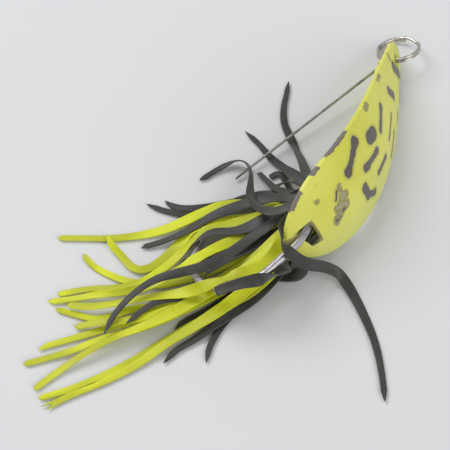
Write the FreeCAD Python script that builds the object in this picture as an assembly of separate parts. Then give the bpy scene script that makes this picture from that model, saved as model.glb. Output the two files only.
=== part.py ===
import FreeCAD, Part
import math
import os

from FreeCAD import Placement, Rotation, Vector

# Weedless spoon with a rubber skirt, lying on a table the way it comes to rest: on one long edge of
# the spoon and on the bend of its hook. Millimetres, +Z up, table at Z = 0.
#
# The rigid pieces are drawn in the lure's own axes, with the origin at the tail tip: the first
# coordinate runs forward to the nose, the second to the lure's left, the third towards the painted,
# convex face. lay_down() turns them into the resting pose.

# ---- driving dimensions ----------------------------------------------------------------------
BODY_LENGTH = 70.0
BODY_ROCKER = 9.3            # height of the face above the chord, tail to nose
ROCKER_BIAS = 0.46           # moves the highest point of the face towards the tail
FACE_RADIUS = 32.0           # radius of the face across the lure
WALL = 1.1
HALF_OUTLINE = (             # (distance from the tail, half width)
    (0.9, 3.5), (3.0, 6.4), (6.2, 8.9), (11.0, 10.8), (18.0, 11.6), (26.0, 11.4), (35.0, 10.6),
    (45.0, 9.2), (54.0, 7.3), (61.0, 5.6), (65.0, 4.5), (67.5, 3.6), (69.4, 2.0),
)

NOSE_HOLE_AT = 65.0
NOSE_HOLE_DIAMETER = 3.3

WINDOW_CORNERS = (           # (distance from the tail, distance to the left)
    (2.1, 1.9), (6.1, 2.3), (7.0, -4.5), (4.5, -4.1),
)
WINDOW_ROUNDING = 0.9

HOOK_WIRE = 1.9
EYE_AT = Vector(58.5, 0, 1.2)
EYE_RADIUS = 1.9             # to the centre of the wire
SHANK_REAR = Vector(2.0, 0, 2.3)
THROAT = Vector(-7.0, 0, -1.4)
BEND_RADIUS = 11.2
POINT_LENGTH = 13.0
POINT_SLANT = 7.0            # degrees that the point leans away from the shank
POINT_TAPER = 4.5
POINT_BLUNT = 0.12           # radius of the very point
BARB_LENGTH = 2.2
BARB_ROOT_RADIUS, BARB_TIP_RADIUS = 0.75, 0.1

KEEL_REAR = 26.0
KEEL_WEB = 2.6
KEEL_ROD = 1.75              # radius of the rounded edge that carries the shank
KEEL_PAD = EYE_RADIUS + 1.4  # radius of the round pad that holds the hook's eye
KEEL_PAD_HEIGHT = 6.0        # before the face trims it
WEIGHT_REAR, WEIGHT_FRONT = 27.0, 44.0
WEIGHT_SIZE = (4.4, 4.0)     # across the lure, and deep
WEIGHT_CORNER = 1.4

GUARD_WIRE = 0.65
GUARD_ROOT = Vector(62.6, 0.9, -0.9)
GUARD_TIP = Vector(19.6, 1.5, -22.9)
GUARD_FOOT = 0.9             # length of wire above the pivot
GUARD_BOSS = 1.3             # radius of the boss that the foot sits in
GUARD_PLAY = 0.38            # room round the foot for the wire to flex
SOCKET_FLOOR = 0.5           # room between the foot's end and the bottom of its socket

RING_WIRE = 0.75
RING_RADIUS = 5.2            # to the centre of the wire
RING_TILT = 12.0             # degrees between the ring's wire and the axis of the nose hole
RING_SAG = -7.0              # degrees that the ring hangs to the lure's right
RING_LEAN = 7.0              # degrees that the ring is turned about the line from the hole to its centre

HUB_REAR, HUB_FRONT = 12.0, 17.0
HUB_RADIUS = 3.0
HUB_GAP = 0.05               # room between the hub's bore and the shank
COLLAR_WIRE = 1.3
COLLAR_GAP = 0.05            # room between the hub and the middle of the collar's wire

STRIP = 0.8                  # diameter of the round cord that has a rubber strip's section

TAIL_AT = Vector(-29.5, -5.0, 11.7)
PITCH = 6.6                  # degrees, nose down
ROLL = 64.5                  # degrees, left edge up

# Routes of the skirt's strips in the resting pose, from inside the band out to the tip. The first
# five black strips leave the band's front end, and all the others its rear end.
BLACK_ROUTES = (
    ((-12.4, -5.3, 12.7), (-9, -3, 11), (-7.5, -0.5, 7), (-2, 3, 4), (2.5, 6.5, 1.6), (6, 9.5, 0.6),
     (9, 12.5, 0.6), (13.5, 14.5, 0.6), (18, 15.5, 0.6), (21.5, 16.5, 0.6)),
    ((-12.6, -4.3, 11.2), (-10.5, -2, 9.5), (-8.5, 0.5, 6), (-5.5, 3.5, 4), (-3.5, 7.5, 1.8),
     (-2, 10.5, 0.5), (-0.5, 13, 0.5), (1.5, 16.5, 0.5), (3, 20, 0.5)),
    ((-12.9, -6.6, 8), (-10, -3, 6), (-8.5, 1.5, 5), (-8, 4, 3.6), (-8.5, 6, 1.8), (-10, 7.5, 0.6)),
    ((-12.8, -4.5, 9.5), (-11.5, -2, 8), (-11.5, 0.5, 6), (-12, 2.5, 5), (-12, 5.5, 4.4),
     (-9.5, 9, 2.6), (-7, 12, 0.8)),
    ((-12.8, -8.7, 8.8), (-11.5, -6.5, 5.5), (-10.5, -2, 3.4), (-9.5, 2.5, 2.2), (-7, 5, 1.4),
     (-5, 7, 0.8), (-5.5, 8.5, 0.6), (-7, 9, 0.6)),
    ((-16, -6.5, 13.9), (-18.5, -5, 15), (-20.5, -1.5, 13.5), (-22, 0.5, 12.5), (-22.5, 3, 11),
     (-21.5, 6.5, 10), (-19, 9, 8.5), (-15, 10.5, 7), (-10, 12.5, 5), (-6.5, 15.5, 3),
     (-6.5, 18.5, 1.8), (-9, 20.5, 1), (-12, 22.5, 0.6), (-15, 24, 0.6)),
    ((-16.3, -4.3, 12.4), (-16.8, -1.6, 10.7), (-14.5, 2.5, 4.5), (-13, 6.5, 3), (-15.5, 11, 2),
     (-19, 15, 1), (-22.5, 19, 0.6), (-24.5, 22, 0.6), (-25.5, 25, 0.6), (-26, 29, 0.6),
     (-26, 32.5, 0.6)),
    ((-16.4, -4, 11.6), (-15, -1.8, 8.6), (-13.5, 3, 3), (-13.5, 8, 1.2), (-17, 13.5, 0.8),
     (-20.5, 18.5, 0.6), (-23, 22.5, 0.8), (-24, 26, 0.6), (-24, 29.5, 0.6)),
    ((-16.2, -4.9, 13.1), (-17.8, -2.4, 12.9), (-15.5, 1.5, 8.5), (-16, 5, 7), (-18, 8.5, 5.8),
     (-20.5, 12, 4.6), (-24, 16, 3.6), (-29, 19.5, 2.6), (-33, 23, 1.6), (-35.5, 26, 0.8),
     (-37.5, 28.5, 0.6)),
    ((-16.5, -5.2, 10.6), (-18.5, -3.5, 9.5), (-19.5, 0, 7.5), (-22, 3.5, 7), (-24.5, 6, 6),
     (-27, 9.5, 5), (-28.5, 14, 4.6), (-31, 16.5, 4.2), (-33, 18, 3.8)),
    ((-16.1, -5.6, 13.6), (-18.5, -3.5, 13.7), (-19.5, -0.5, 11), (-21.5, 1, 9.5), (-24, 2, 8),
     (-27.5, 4.5, 7), (-33, 7, 6.5), (-39, 10.5, 6.4), (-43, 15, 5.8), (-46.5, 20, 4.4),
     (-51, 23, 3.4), (-55.5, 24.5, 3.6), (-59.5, 25, 3.8), (-62.5, 25, 3.2)),
    ((-16.2, -7.3, 12.8), (-19, -5.5, 12.6), (-21.5, -2.5, 9.5), (-24, 0, 7.2), (-27.5, 2.5, 5.6),
     (-31, 5, 4.4), (-34.5, 7.5, 3.6), (-38, 10, 3), (-40, 13, 2.4)),
    ((-16.7, -4.8, 9.1), (-18.5, -2.5, 6.6), (-18.5, 1, 4.6), (-23.5, 4, 3), (-28, 7.5, 1.6),
     (-32.5, 12.5, 0.6), (-35.5, 16.5, 0.6), (-39, 19, 0.6)),
    ((-16.7, -6.4, 8.2), (-20, -5, 6.2), (-24, -2, 4.6), (-30, 1, 3.6), (-35.5, 4, 2.6), (-41.5, 8, 2),
     (-46.5, 12.7, 2.2), (-50, 17.5, 2.4), (-54, 20, 2.2), (-58.5, 21.5, 2.2)),
    ((-16.7, -8.1, 8.4), (-20.5, -7, 6.2), (-26, -4, 3.8), (-31, -1.5, 2.4), (-36.5, 1.5, 1.4),
     (-42, 4.5, 0.8), (-46.5, 7.5, 0.6), (-50.5, 10.5, 0.6), (-54.5, 12.5, 0.6)),
    ((-16.6, -8.9, 9), (-21, -7.9, 6.3), (-26.5, -5, 4.8), (-30, -4.5, 3.6), (-34.5, -3, 2.2),
     (-38.5, -1.5, 1.6), (-43, 0.5, 1.6), (-48.5, 3.5, 1.6), (-54, 6.5, 0.8), (-58.5, 9.5, 0.6),
     (-62.5, 10.5, 0.6)),
    ((-16.4, -9.7, 10.5), (-21, -9.6, 8.6), (-26, -6.9, 6.6), (-27.2, -8.4, 3.6), (-28.8, -8.3, 1.2),
     (-30.5, -5.8, 0.6), (-31.5, -2.8, 0.6), (-35, -1, 0.6), (-40.5, 0.5, 0.6), (-45, 2, 0.6),
     (-49.5, 3, 0.6), (-54.5, 3, 0.6), (-58.5, 2, 0.6)),
    ((-16.2, -9.5, 12.3), (-20, -9.1, 10.2), (-24, -6.8, 8.7), (-27.5, -5, 7.6), (-31, -4.5, 8.4),
     (-34, -5.7, 10.3), (-36, -6, 11.9), (-38.2, -4, 13.1), (-40.5, -1.5, 13.2), (-42.5, 2.3, 12),
     (-44.8, 5, 10.4)),
    ((-16.1, -9, 13), (-18.6, -7.7, 14.6), (-23.5, -3, 14.3), (-28.5, -2.2, 14.6), (-31.8, -4.8, 14.6),
     (-32.3, -8, 12.5), (-30.5, -10.5, 9), (-27.5, -13, 5.6), (-26, -16, 3), (-27, -18.5, 1.6),
     (-29.5, -22, 0.6), (-34, -26.5, 0.6), (-38, -30, 0.6), (-42.5, -33, 0.6), (-47, -35.5, 0.6),
     (-51, -37.5, 0.6)),
)
CHARTREUSE_ROUTES = (
    ((-16.5, -4, 10.7), (-17, -1.3, 8.6), (-16.5, 1.5, 5.2), (-16.5, 6, 4), (-17.5, 11.5, 2.6),
     (-19.5, 16, 1.8), (-23, 19, 1.6), (-27, 22, 1.4), (-31, 25.5, 0.8), (-34.5, 30, 0.6),
     (-38, 35.5, 0.6), (-40.5, 41.5, 0.6), (-43, 47, 0.6)),
    ((-16.6, -4.3, 9.8), (-17.5, -2, 7.4), (-17.5, 1, 4.2), (-19.5, 5.5, 2.6), (-22.5, 11, 2.4),
     (-26, 16, 3), (-29.5, 19.5, 1.8), (-34.5, 21, 0.6), (-39, 22.5, 0.6), (-42.5, 24.5, 0.8),
     (-43.5, 27.5, 1), (-41.5, 31, 0.8), (-40, 34.5, 1.4), (-38, 37.5, 1.6)),
    ((-16.7, -5.5, 8.5), (-19.5, -3.5, 5.6), (-20, 0.5, 3.4), (-24.5, 3.5, 2), (-31, 7, 1.2),
     (-36.5, 11, 0.8), (-41, 15.5, 0.6), (-45, 20.5, 0.6), (-47, 26.5, 0.8), (-47, 31.5, 0.6),
     (-46.5, 36.5, 0.6), (-44.5, 39.5, 0.6)),
    ((-16.3, -5.3, 11.9), (-18.5, -3, 11), (-17.5, 0.5, 9), (-19.5, 4.5, 5.6), (-22, 8.5, 4),
     (-25, 12, 3.4), (-28, 15.7, 3.2), (-32, 18, 2.8), (-37.5, 19.5, 1.6), (-42.5, 21.5, 1.8),
     (-47, 24.5, 1.8), (-50, 28.5, 1.4), (-52.5, 35, 0.6), (-56.5, 40, 0.6)),
    ((-16.2, -6.3, 12.7), (-19, -4, 12), (-21, 0, 8.5), (-24, 3, 6), (-27, 6.5, 4.6), (-30.5, 10, 4.4),
     (-35.5, 13, 5.3), (-39.5, 15.5, 5), (-44, 19, 3.2), (-48, 22.5, 2.4), (-51, 27, 2.2),
     (-53.5, 32, 1.4), (-56.5, 36.5, 0.8), (-59, 41, 0.6)),
    ((-16.7, -7.3, 8.2), (-20.5, -6, 5.4), (-25, -2, 2.8), (-31.5, 0.5, 1.4), (-37, 4, 0.8),
     (-42.5, 8, 0.6), (-46.5, 13, 0.6), (-50, 18, 0.6), (-53, 23.5, 0.6), (-58.5, 28, 0.6),
     (-59.5, 33.5, 0.6), (-60, 38.5, 0.6)),
    ((-16.6, -6.7, 9.3), (-19.5, -4.5, 7.4), (-22.5, -1.5, 5), (-28, 1, 2.6), (-32.5, 3.5, 1.6),
     (-37.5, 7, 1), (-42, 10.5, 1.3), (-48, 14, 1.5), (-53, 18, 1.2), (-57, 22.5, 1.2), (-61, 27, 0.8),
     (-66, 32.5, 0.6), (-71, 38, 0.6)),
    ((-16.5, -8.2, 9.8), (-20, -6.6, 8.2), (-24.5, -2, 6.5), (-30, -0.5, 5), (-35, 2, 3.6),
     (-39.5, 5.5, 2.4), (-44.5, 9, 1.8), (-49.5, 13, 1.4), (-55, 17, 1.4), (-59.5, 21.5, 1.4),
     (-63.5, 26, 1.4), (-67.5, 29.5, 1), (-71.5, 34, 0.6), (-75.5, 38.5, 0.6)),
    ((-16, -8.3, 13.6), (-19.5, -7, 13.2), (-23, -4, 11.7), (-28, -2.5, 9.8), (-33.5, 0.5, 8),
     (-38, 3.5, 6.2), (-42.5, 7.5, 4.4), (-48, 11, 4), (-53.5, 14.5, 3.8), (-58, 18.5, 3.4),
     (-62, 22.5, 2.8), (-66.5, 26, 2), (-71, 29, 1.2), (-75.5, 31.5, 0.6), (-80, 33.5, 0.6)),
    ((-16.5, -9.4, 9.7), (-20.5, -8.5, 7.9), (-25.5, -4.2, 6.2), (-30, -3.5, 4.8), (-34, -2, 3.4),
     (-38.5, 0, 2.2), (-42, 2.5, 2), (-47.5, 5.5, 1.4), (-52, 9, 0.8), (-57.5, 12.5, 0.6),
     (-63.5, 16, 0.6), (-68.5, 19.5, 0.6), (-73, 23, 0.6), (-77.5, 27, 0.6), (-81.5, 31.5, 0.6)),
    ((-16.3, -9.8, 11.4), (-20, -7.9, 9), (-24.5, -4.8, 7.6), (-28, -3.5, 6.8), (-32.5, -2.8, 6.4),
     (-37, -1, 5.4), (-41.5, 1.5, 4.2), (-47, 4.5, 3.2), (-52, 8, 2), (-58, 12, 1.4), (-64, 15, 0.8),
     (-69.5, 18.5, 0.6), (-74.5, 22.5, 0.6), (-79, 26.5, 0.6), (-83.5, 29.5, 0.6)),
    ((-16, -7.4, 13.9), (-19, -5.7, 14), (-21.5, -2.5, 12.2), (-24.5, -2.5, 11.5), (-28.5, -3, 10.8),
     (-32.5, -2.5, 9.8), (-36.5, -1, 9.8), (-40.8, 3, 10.5), (-44.5, 7, 9.8), (-46.5, 12.5, 7.6),
     (-49, 18, 6.4), (-52, 23.5, 5), (-55.5, 28.5, 3.2), (-57.5, 32.5, 1.8), (-58.5, 36.5, 1.4)),
    ((-16.5, -5.7, 9.6), (-19.5, -4.2, 8.3), (-23, -2.5, 8), (-26.5, -1, 7.6), (-30, 0.5, 6.6),
     (-33.5, 2.5, 5.2), (-36.5, 5, 4), (-40, 7, 3.4), (-45, 10, 3.2), (-50.5, 14, 3), (-54.5, 18, 3.2),
     (-58, 23, 3), (-60, 28, 2), (-62.5, 32.5, 0.8)),
)


# ---- helpers ---------------------------------------------------------------------------------
def lay_down(shape):
    """A shape drawn in the lure's own axes, in its resting pose."""
    turned = shape.copy()
    pose = Rotation(Vector(0, 1, 0), PITCH) * Rotation(Vector(1, 0, 0), ROLL)
    turned.Placement = Placement(TAIL_AT, pose) * turned.Placement
    return turned


def save(name, shape):
    if not shape.isValid():
        raise ValueError(name + " is not a valid shape")
    print(f"{name}: {len(shape.Solids)} solid, {shape.Volume:.1f} mm3")
    shape.exportStep(f"parts/{name}.step")


def face_height(at):
    """Height of the painted face above the chord, on the lure's centre line."""
    share = at / BODY_LENGTH
    return BODY_ROCKER * 4 * share * (1 - share) * (1 + ROCKER_BIAS * (1 - 2 * share))


def rounded_path(points, radii):
    """Straight runs through the points, joined by tangent arcs of the given radii."""
    edges = []
    start = points[0]
    for before, corner, after, radius in zip(points, points[1:], points[2:], radii):
        back = (before - corner).normalize()
        ahead = (after - corner).normalize()
        turn = math.pi - back.getAngle(ahead)
        reach = radius * math.tan(turn / 2)
        middle = (back + ahead).normalize()
        centre = corner + middle * (radius / math.cos(turn / 2))
        arc_start = corner + back * reach
        arc_end = corner + ahead * reach
        edges.append(Part.LineSegment(start, arc_start).toShape())
        edges.append(Part.Arc(arc_start, centre - middle * radius, arc_end).toShape())
        start = arc_end
    edges.append(Part.LineSegment(start, points[-1]).toShape())
    return Part.Wire(edges)


def wire_along(path, diameter):
    """A round wire or cord along a path."""
    first = path.Edges[0]
    start = first.valueAt(first.FirstParameter)
    along = first.tangentAt(first.FirstParameter)
    circle = Part.Wire([Part.makeCircle(diameter / 2, start, along)])
    return path.makePipeShell([circle], True, False)


# ---- spoon -----------------------------------------------------------------------------------
def outline():
    """The spoon's outline seen square to its chord."""
    left = [Vector(at, half, 0) for at, half in HALF_OUTLINE]
    right = [Vector(at, -half, 0) for at, half in reversed(HALF_OUTLINE)]
    loop = Part.BSplineCurve()
    loop.interpolate([Vector(0, 0, 0)] + left + [Vector(BODY_LENGTH, 0, 0)] + right, PeriodicFlag=True)
    return Part.Wire([loop.toShape()])


def sheet():
    """A wide curved sheet, one wall thick, that the spoon's outline is cut from."""
    reach = 15.0
    drop = reach * reach / (2 * FACE_RADIUS)
    sections = []
    for at in (-3.0, 4.0, 11.0, 20.0, 30.0, 40.0, 50.0, 60.0, 67.0, 73.0):
        top = face_height(at)
        corners = []
        for height in (top, top - WALL):
            corners.append([Vector(at, -reach, height - drop), Vector(at, 0, height),
                            Vector(at, reach, height - drop)])
        upper, lower = corners
        sections.append(Part.Wire([
            Part.Arc(*upper).toShape(),
            Part.LineSegment(upper[2], lower[2]).toShape(),
            Part.Arc(*reversed(lower)).toShape(),
            Part.LineSegment(lower[0], upper[0]).toShape(),
        ]))
    return Part.makeLoft(sections, True, False)


def prism(wire, low, high):
    """The wire's inside, from one height to another."""
    face = Part.Face(wire)
    face.translate(Vector(0, 0, low))
    return face.extrude(Vector(0, 0, high - low))


def window():
    """The opening that the hook passes through, with rounded corners."""
    corners = [Vector(at, left, 0) for at, left in WINDOW_CORNERS]
    block = prism(Part.makePolygon(corners + corners[:1]), -10, 20)
    return block.makeFillet(WINDOW_ROUNDING, [edge for edge in block.Edges if edge.BoundBox.ZLength > 1])


def shank_path():
    """Centre line of the hook behind its eye, up to where the bend starts."""
    return rounded_path([EYE_AT - Vector(EYE_RADIUS, 0, 0), SHANK_REAR, THROAT], [14.0])


def keel():
    """The web under the spoon with the shank's rounded edge, and the pad round the hook's eye."""
    slope = (SHANK_REAR - EYE_AT).normalize()
    rear = EYE_AT + slope * ((EYE_AT.x - KEEL_REAR) / -slope.x)
    rod = Part.makeCylinder(KEEL_ROD, (rear - EYE_AT).Length, rear, EYE_AT - rear)
    profile = Part.makePolygon([
        Vector(KEEL_REAR, 0, rear.z), Vector(EYE_AT.x, 0, EYE_AT.z), Vector(EYE_AT.x, 0, 12),
        Vector(KEEL_REAR, 0, 12), Vector(KEEL_REAR, 0, rear.z)])
    web = Part.Face(profile).extrude(Vector(0, KEEL_WEB, 0))
    web.translate(Vector(0, -KEEL_WEB / 2, 0))
    pad = Part.makeCylinder(KEEL_PAD, KEEL_PAD_HEIGHT, EYE_AT - Vector(0, 0, KEEL_ROD))
    return rod.fuse(web).fuse(pad).fuse(guard_socket(GUARD_BOSS))


def under_face(shape):
    """What of a shape lies below the spoon's face."""
    reach = 15.0
    points = [Vector(at, 0, face_height(at) - WALL / 2) for at in (-3, 8, 19, 30, 42, 54, 64, 73)]
    roof = Part.BSplineCurve()
    roof.interpolate(points)
    ends = [points[-1], points[-1] + Vector(0, 0, -40), points[0] + Vector(0, 0, -40), points[0]]
    sides = [Part.LineSegment(a, b).toShape() for a, b in zip(ends, ends[1:])]
    block = Part.Face(Part.Wire([roof.toShape()] + sides)).extrude(Vector(0, 2 * reach, 0))
    block.translate(Vector(0, -reach, 0))
    return shape.common(block)


def guard_axis():
    return (GUARD_TIP - GUARD_ROOT).normalize()


def guard_socket(radius):
    """A cylinder round the foot of the weed guard."""
    start = GUARD_ROOT - guard_axis() * (GUARD_FOOT + SOCKET_FLOOR)
    return Part.makeCylinder(radius, 2 * GUARD_FOOT + SOCKET_FLOOR, start, guard_axis())


def nose_hole():
    return Part.makeCylinder(NOSE_HOLE_DIAMETER / 2, 20, Vector(NOSE_HOLE_AT, 0, -8))


def make_weight():
    """Lead cast round the shank inside the keel."""
    across, deep = WEIGHT_SIZE
    middle = (WEIGHT_REAR + WEIGHT_FRONT) / 2
    slope = (SHANK_REAR - EYE_AT).normalize()
    centre = EYE_AT + slope * ((EYE_AT.x - middle) / -slope.x)
    length = WEIGHT_FRONT - WEIGHT_REAR
    slug = Part.makeBox(length, across, deep, Vector(-length / 2, -across / 2, -deep / 2))
    slug = slug.makeFillet(WEIGHT_CORNER, [edge for edge in slug.Edges if edge.BoundBox.XLength > length / 2])
    tilt = math.degrees(math.atan2(slope.z, -slope.x))
    slug.rotate(Vector(0, 0, 0), Vector(0, 1, 0), tilt)
    slug.translate(centre)
    return slug


# ---- wire pieces -----------------------------------------------------------------------------
def make_hook():
    eye = Part.makeTorus(EYE_RADIUS, HOOK_WIRE / 2, EYE_AT)
    shank = wire_along(shank_path(), HOOK_WIRE)
    heading = (THROAT - SHANK_REAR).normalize()
    side = Vector(-heading.z, 0, heading.x) * -1
    if side.z > 0:
        side = side * -1
    centre = THROAT + side * BEND_RADIUS
    slant = math.radians(POINT_SLANT)
    last = Vector(math.cos(slant), 0, -math.sin(slant))
    foot = centre + Vector(-math.sin(slant), 0, -math.cos(slant)) * BEND_RADIUS
    halfway = ((THROAT - centre) + (foot - centre)).normalize()
    if halfway.x > 0:
        halfway = halfway * -1
    bend = Part.Arc(THROAT, centre + halfway * BEND_RADIUS, foot).toShape()
    heel = foot + last * (POINT_LENGTH - POINT_TAPER)
    leg = Part.LineSegment(foot, heel).toShape()
    bow = wire_along(Part.Wire([bend, leg]), HOOK_WIRE)
    tip = Part.makeCone(HOOK_WIRE / 2, POINT_BLUNT, POINT_TAPER, heel, last)
    inward = Vector(last.z, 0, -last.x) * -1
    barb_root = heel + last + inward * (HOOK_WIRE * 0.2)
    barb = Part.makeCone(BARB_ROOT_RADIUS, BARB_TIP_RADIUS, BARB_LENGTH, barb_root,
                         last * -0.8 + inward * 0.75)
    return eye.fuse(shank).fuse(bow).fuse(tip).fuse(barb).removeSplitter()


def make_guard():
    """Spring wire with a foot that is moulded into the keel."""
    along = guard_axis()
    foot = GUARD_ROOT - along * GUARD_FOOT
    end = GUARD_TIP - along * (GUARD_WIRE / 2)
    straight = Part.makeCylinder(GUARD_WIRE / 2, (end - foot).Length, foot, along)
    nub = Part.makeSphere(GUARD_WIRE / 2, end)
    return straight.fuse(nub).removeSplitter()


def ring_axes():
    """Centre of the split ring, the direction of its wire in the hole, and its own axis."""
    tilt = math.radians(RING_TILT)
    hole = Vector(NOSE_HOLE_AT, 0, face_height(NOSE_HOLE_AT) - WALL / 2)
    wire = Vector(math.sin(tilt), 0, math.cos(tilt))
    forward = Vector(math.cos(tilt), 0, -math.sin(tilt))
    forward = Rotation(wire, RING_SAG).multVec(forward)
    wire = Rotation(forward, RING_LEAN).multVec(wire)
    return hole, wire, forward, forward.cross(wire)


def make_ring():
    """Two turns of wire, side by side."""
    hole, wire, forward, axis = ring_axes()
    centre = hole + forward * RING_RADIUS
    turns = [Part.makeTorus(RING_RADIUS, RING_WIRE / 2, centre + axis * side, axis)
             for side in (-RING_WIRE * 0.49, RING_WIRE * 0.49)]
    return turns[0].fuse(turns[1])


# ---- skirt -----------------------------------------------------------------------------------
def hub_axis():
    """Where the skirt's band starts on the shank, and the direction of the shank towards the nose."""
    forward = (EYE_AT - SHANK_REAR).normalize()
    return SHANK_REAR + forward * ((HUB_REAR - SHANK_REAR.x) / forward.x), forward


def make_collar():
    """The rubber ring that grips the band."""
    rear, forward = hub_axis()
    middle = rear + forward * ((HUB_FRONT - HUB_REAR) / 2)
    return Part.makeTorus(HUB_RADIUS + COLLAR_GAP, COLLAR_WIRE / 2, middle, forward)


def make_hub(collar):
    """The uncut band of the skirt, rolled round the shank, with a groove for the collar."""
    rear, forward = hub_axis()
    length = HUB_FRONT - HUB_REAR
    band = Part.makeCylinder(HUB_RADIUS, length, rear, forward)
    bore = Part.makeCylinder(HOOK_WIRE / 2 + HUB_GAP, length, rear, forward)
    return band.cut(bore).cut(collar)


def strip_radii(points):
    """The largest arc radius that the two runs beside each point allow."""
    radii = []
    for before, corner, after in zip(points, points[1:], points[2:]):
        back = before - corner
        ahead = after - corner
        turn = math.pi - back.getAngle(ahead)
        radii.append(0.45 * min(back.Length, ahead.Length) / math.tan(turn / 2))
    return radii


def make_strip(name, route, hub):
    """One rubber strip, cut square where it meets the band."""
    points = [Vector(*point) for point in route]
    radii = strip_radii(points)
    path = rounded_path(points, radii)
    tube = wire_along(path, STRIP)
    section = math.pi * (STRIP / 2) ** 2
    print(f"{name}: length {path.Length:.1f}, smallest radius {min(radii):.1f}, "
          f"volume over section times length {tube.Volume / (section * path.Length):.3f}")
    return max(tube.cut(hub).Solids, key=lambda solid: solid.Volume)


def make_spoon(hook, weight):
    shell = sheet().common(prism(outline(), -20, 20))
    spoon = shell.fuse(under_face(keel()))
    for hole in (window(), nose_hole(), guard_socket(GUARD_WIRE / 2 + GUARD_PLAY), hook, weight):
        spoon = spoon.cut(hole)
    return spoon.removeSplitter()


def main():
    os.makedirs("parts", exist_ok=True)
    hook = make_hook()
    weight = make_weight().cut(hook)
    collar = make_collar()
    hub = make_hub(collar)
    rigid = {"spoon_body": make_spoon(hook, weight), "keel_weight": weight, "hook": hook,
             "weed_guard": make_guard(), "split_ring": make_ring(), "skirt_hub": hub,
             "skirt_collar": collar}
    for name, shape in rigid.items():
        save(name, lay_down(shape))
    solid_band = lay_down(Part.makeCylinder(HUB_RADIUS, HUB_FRONT - HUB_REAR, *hub_axis()))
    for colour, routes in (("black", BLACK_ROUTES), ("chartreuse", CHARTREUSE_ROUTES)):
        for number, route in enumerate(routes, start=1):
            name = f"{colour}_strip_{number:02d}"
            save(name, make_strip(name, route, solid_band))


if __name__ == "__main__":
    main()
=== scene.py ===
import math

import bmesh
import bpy
from mathutils import Matrix, Vector, noise
from mathutils.bvhtree import BVHTree


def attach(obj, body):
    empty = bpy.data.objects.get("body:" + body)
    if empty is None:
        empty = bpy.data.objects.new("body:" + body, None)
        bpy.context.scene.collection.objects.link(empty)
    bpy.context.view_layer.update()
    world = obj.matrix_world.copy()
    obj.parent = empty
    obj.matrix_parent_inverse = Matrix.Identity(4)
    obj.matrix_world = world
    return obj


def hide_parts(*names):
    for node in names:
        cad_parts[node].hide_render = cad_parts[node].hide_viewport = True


# A weedless spoon lying on a pale table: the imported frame, with a skirt of flat rubber ribbons, a
# painted spoon, a coiled split ring and worn metal built round it. Metres, +Z up, table at Z = 0.

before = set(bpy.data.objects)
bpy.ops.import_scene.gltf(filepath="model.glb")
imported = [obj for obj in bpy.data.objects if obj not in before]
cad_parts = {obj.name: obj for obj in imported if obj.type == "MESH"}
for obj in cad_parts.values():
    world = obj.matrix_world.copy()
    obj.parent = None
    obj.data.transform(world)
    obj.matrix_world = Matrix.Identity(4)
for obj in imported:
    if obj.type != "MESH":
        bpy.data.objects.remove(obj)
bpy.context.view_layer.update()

MM = 0.001

# ---- the lure's own axes: forward to the nose, to its left, and out of its painted face -------
TAIL_AT = Vector((-0.0295, -0.0050, 0.0117))
PITCH = 6.6                  # degrees, nose down
ROLL = 64.5                  # degrees, left edge up
LURE_AXES = Matrix.Rotation(math.radians(PITCH), 3, "Y") @ Matrix.Rotation(math.radians(ROLL), 3, "X")
FORWARD, LEFT, OUTWARD = (LURE_AXES.col[i].copy() for i in range(3))
SHANK_REAR, EYE_AT = (2.0, 0, 2.3), (58.5, 0, 1.2)   # the hook's shank, in mm

# ---- view ------------------------------------------------------------------------------------
VIEW_AZIMUTH, VIEW_ELEVATION = 294.5, 57.0
VIEW_TARGET = Vector((-0.0233, 0.0134, 0))
VIEW_DISTANCE = 0.380
LENS = 130.2

# ---- skirt, in metres ------------------------------------------------------------------------
STRIP_THICKNESS = 0.00024
STRIP_STEP = 0.00045         # distance from one cross-section to the next
ROOT_SHARE = 0.42            # width where the band squeezes a strip, as a share of the full width
ROOT_REACH = 0.006           # distance over which it opens out
END_SHARE = 0.50             # width near the tip, as a share of the full width
TIP_POINTS = 2               # the line ends this many steps short of the tip, in the middle of its cut
EDGE_STATIONS = (-1, -0.96, -0.7, -0.36, 0, 0.36, 0.7, 0.96, 1)
NEAR, TOUCHING = 0.0019, 0.0008   # gaps at which a strip starts to lie along a surface, and does
EDGE_THINNING = 0.5          # thickness at the two edges, as a share of the full thickness
CUP_DEPTH = 0.00012          # how far the edges curl out of the strip's plane
WAVER, WAVERS = 0.06, 180    # how much the width wavers, as a share of it, and how quickly, per metre
TABLE_GAP = 0.00002          # the least height above the table
UV_PER_METRE = 100           # texture units along a strip
UP_PULL, SURFACE_PULL = 0.35, 1.5   # how strongly a broad face turns up, and flat to a surface close by
STEADINESS = 2.5             # how strongly it keeps the way it looks one step before
EVENING_PASSES = 6           # how often the ways a strip looks are evened out along it
TIP_REACH = 0.0085           # the last stretch, over which the cross-sections take the shape of the cut
TIP_CUTS = {                 # how deep each kind of tip is cut
    "point": 0.0029, "round": 0.0012, "slant": 0.0024, "split": 0.0026, "ragged": 0.0016, "square": 0.0003,
}
SLANT_CORNER = 0.0006        # how much a slant tip's corners are worn off
SPLIT_SHORTER = 0.0007       # how much shorter one side of a split tip is

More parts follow.
